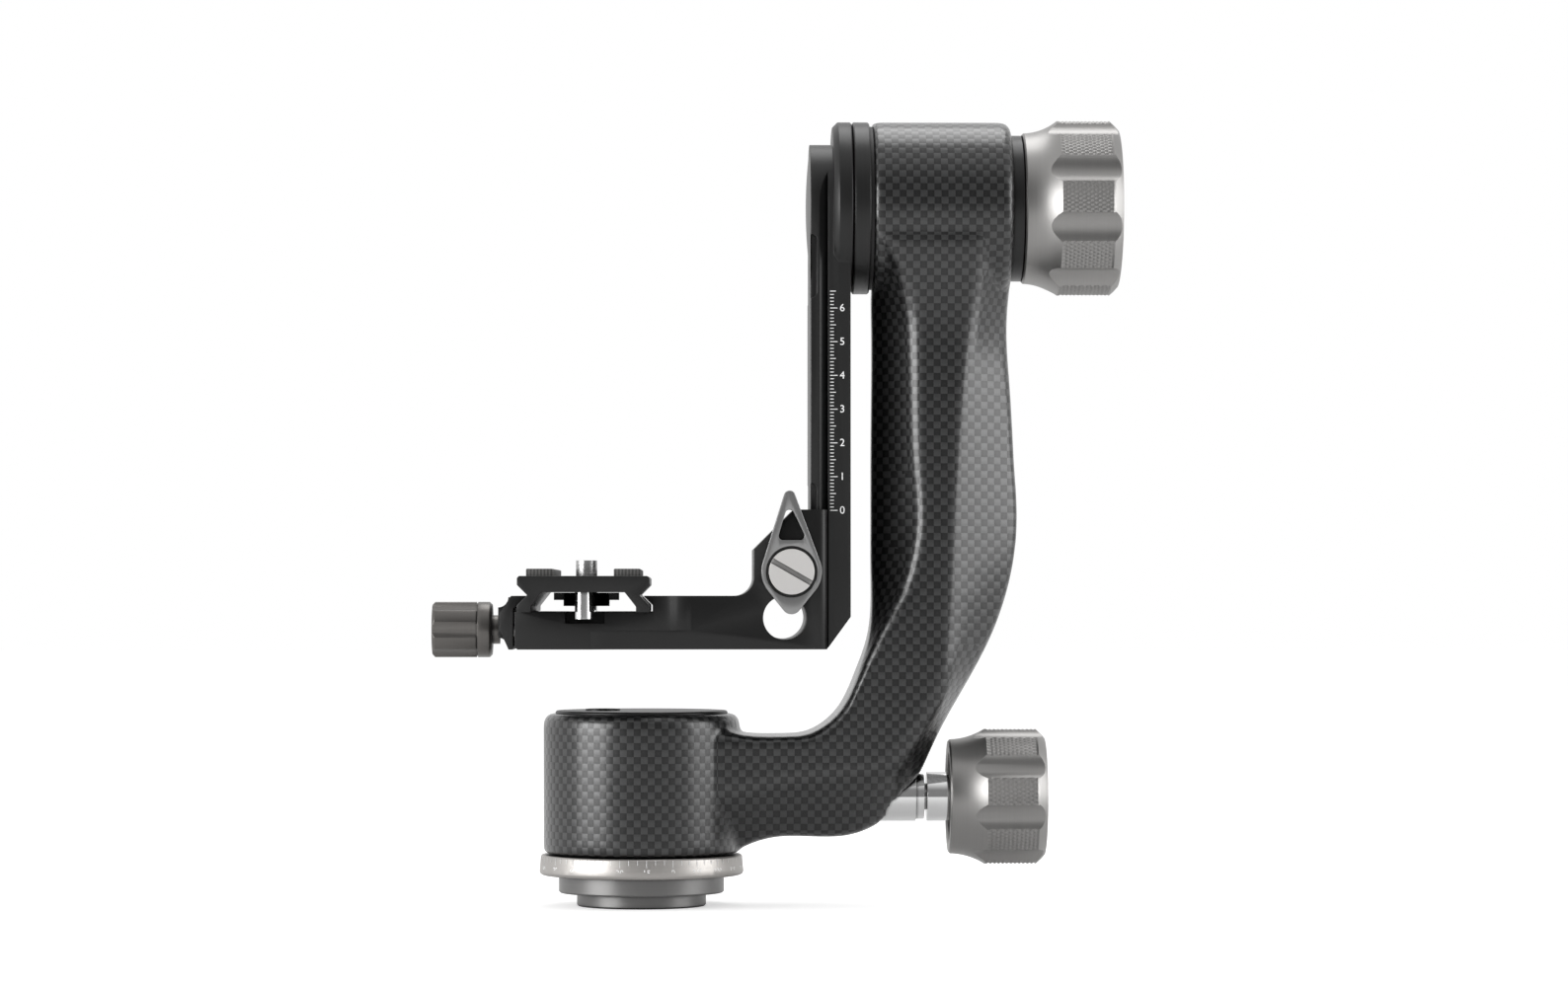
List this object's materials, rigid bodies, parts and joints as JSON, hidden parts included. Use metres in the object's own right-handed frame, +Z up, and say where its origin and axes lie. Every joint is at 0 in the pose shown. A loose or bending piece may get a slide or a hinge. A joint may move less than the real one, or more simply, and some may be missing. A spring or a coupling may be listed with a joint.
{
  "type": "gimbal tripod head",
  "caption": "Gimbal head for a heavy lens: woven-carbon upright on a panning base, swing arm on a tilt hub, L-shaped platform with a quick-release clamp, and two lock knobs.",
  "frame": {"origin": "centre of the foot's underside, on the pan axis", "axes": "+Z up along the pan axis, +X from the pan axis to the upright and along the tilt axis to its knob, -Y towards the side with the height lever"},
  "size_m": [0.206, 0.1, 0.2353],
  "materials": {
    "carbon_fibre": "woven carbon under clear lacquer",
    "black_aluminium": "satin black anodised",
    "champagne_aluminium": "satin anodised",
    "titanium_grey": "satin anodised, knurled lands",
    "dark_grey_aluminium": "satin anodised",
    "grey_steel": "blasted",
    "steel": "machined",
    "chrome": "polished",
    "brass": "machined",
    "black_plastic": "matte",
    "rubber": "matte",
    "level_fluid": "clear with a green fluid"
  },
  "bodies": {
    "base": {"base_plate": "black_aluminium", "base_screws": "steel", "tripod_thread_insert": "steel", "degree_ring": "champagne_aluminium", "pan_spindle": "steel", "pan_brake_drum": "steel", "spindle_nut": "steel", "pan_bearing_inner_races": "steel"},
    "upright": {"carbon_arm": "carbon_fibre", "lower_hub_sleeve": "black_aluminium", "upper_hub_sleeve": "black_aluminium", "pan_bearing_outer_races": "steel", "pan_bearing_balls": "chrome", "hub_cap": "black_aluminium", "level_housing": "black_aluminium", "level_vial": "level_fluid", "lock_bush": "chrome", "tilt_flange": "black_aluminium", "flange_screws": "steel", "tilt_seal_ring": "black_plastic", "knob_spacer_ring": "black_aluminium", "tilt_friction_washer": "black_plastic", "tilt_bearing_outer_races": "steel", "tilt_bearing_balls": "chrome"},
    "pan_shoe": {"pan_brake_shoe": "brass"},
    "pan_knob": {"pan_lock_knob": "titanium_grey", "pan_lock_rod": "chrome", "pan_knob_cover": "titanium_grey"},
    "cradle": {"swing_arm": "black_aluminium", "tilt_spindle": "steel", "spindle_key_pins": "steel", "spindle_clip": "steel", "spindle_bolt": "steel", "pivot_cover": "black_aluminium", "tilt_bearing_inner_races": "steel", "tilt_bearing_spacer": "steel", "rail_stop_screw": "steel"},
    "tilt_pressure": {"tilt_pressure_ring": "steel"},
    "tilt_knob": {"tilt_lock_knob": "titanium_grey", "tilt_knob_insert": "brass", "tilt_knob_cover": "titanium_grey"},
    "bracket": {"platform_bracket": "black_aluminium", "clamp_stud": "steel", "jaw_guide_pins": "steel"},
    "brake_pad": {"rail_brake_pad": "brass"},
    "lever": {"height_lever": "grey_steel", "lever_cam_screw": "steel"},
    "jaw": {"clamp_jaw": "black_aluminium"},
    "clamp_knob": {"clamp_knob": "dark_grey_aluminium", "clamp_knob_bush": "dark_grey_aluminium"},
    "plate": {"quick_plate": "black_aluminium", "plate_pads": "rubber", "plate_stop_pins": "steel"},
    "camera_screw": {"camera_screw": "steel"}
  },
  "joints": [
    {"name": "pan", "type": "hinge", "parent": "base", "child": "upright", "pos_m": [0, 0, 0.0154], "axis": [0, 0, 1], "continuous": true},
    {"name": "tilt", "type": "hinge", "parent": "upright", "child": "cradle", "pos_m": [0.069, 0, 0.209], "axis": [1, 0, 0], "continuous": true},
    {"name": "height_slide", "type": "slide", "parent": "cradle", "child": "bracket", "axis": [0, 0, 1], "range_m": [0, 0.065]},
    {"name": "lever_turn", "type": "hinge", "parent": "bracket", "child": "lever", "pos_m": [0.0443, 0, 0.0997], "axis": [0, -1, 0], "range_deg": [0, 90]},
    {"name": "pad_slide", "type": "slide", "parent": "bracket", "child": "brake_pad", "axis": [-1, 0, 0], "range_m": [-0.00004, 0.00024]},
    {"name": "jaw_slide", "type": "slide", "parent": "bracket", "child": "jaw", "axis": [-1, 0, 0], "range_m": [-0.00031, 0.00375]},
    {"name": "clamp_knob_turn", "type": "hinge", "parent": "jaw", "child": "clamp_knob", "pos_m": [-0.05, 0, 0.0825], "axis": [-1, 0, 0], "range_deg": [-90, 1080]},
    {"name": "pan_shoe_slide", "type": "slide", "parent": "upright", "child": "pan_shoe", "axis": [-1, 0, 0], "range_m": [-0.00125, 0.00031]},
    {"name": "pan_lock_turn", "type": "hinge", "parent": "pan_shoe", "child": "pan_knob", "pos_m": [0.1, 0, 0.0325], "axis": [-1, 0, 0], "range_deg": [-360, 90]},
    {"name": "tilt_pressure_slide", "type": "slide", "parent": "cradle", "child": "tilt_pressure", "axis": [-1, 0, 0], "range_m": [-0.00125, 0.00031]},
    {"name": "tilt_lock_turn", "type": "hinge", "parent": "tilt_pressure", "child": "tilt_knob", "pos_m": [0.12, 0, 0.209], "axis": [-1, 0, 0], "range_deg": [-360, 90]},
    {"name": "plate_slide", "type": "slide", "parent": "bracket", "child": "plate", "axis": [0, 1, 0], "range_m": [-0.02, 0.02]},
    {"name": "camera_screw_turn", "type": "hinge", "parent": "plate", "child": "camera_screw", "pos_m": [-0.0165, 0, 0.093], "axis": [0, 0, 1], "continuous": true}
  ],
  "couplings": [
    {"joint": "jaw_slide", "follows": "clamp_knob_turn", "m_per_rad": 0.00019894},
    {"joint": "pan_shoe_slide", "follows": "pan_lock_turn", "m_per_rad": 0.00019894},
    {"joint": "tilt_pressure_slide", "follows": "tilt_lock_turn", "m_per_rad": 0.00019894},
    {"joint": "pad_slide", "follows": "lever_turn", "m_per_rad": 0.00012732}
  ]
}
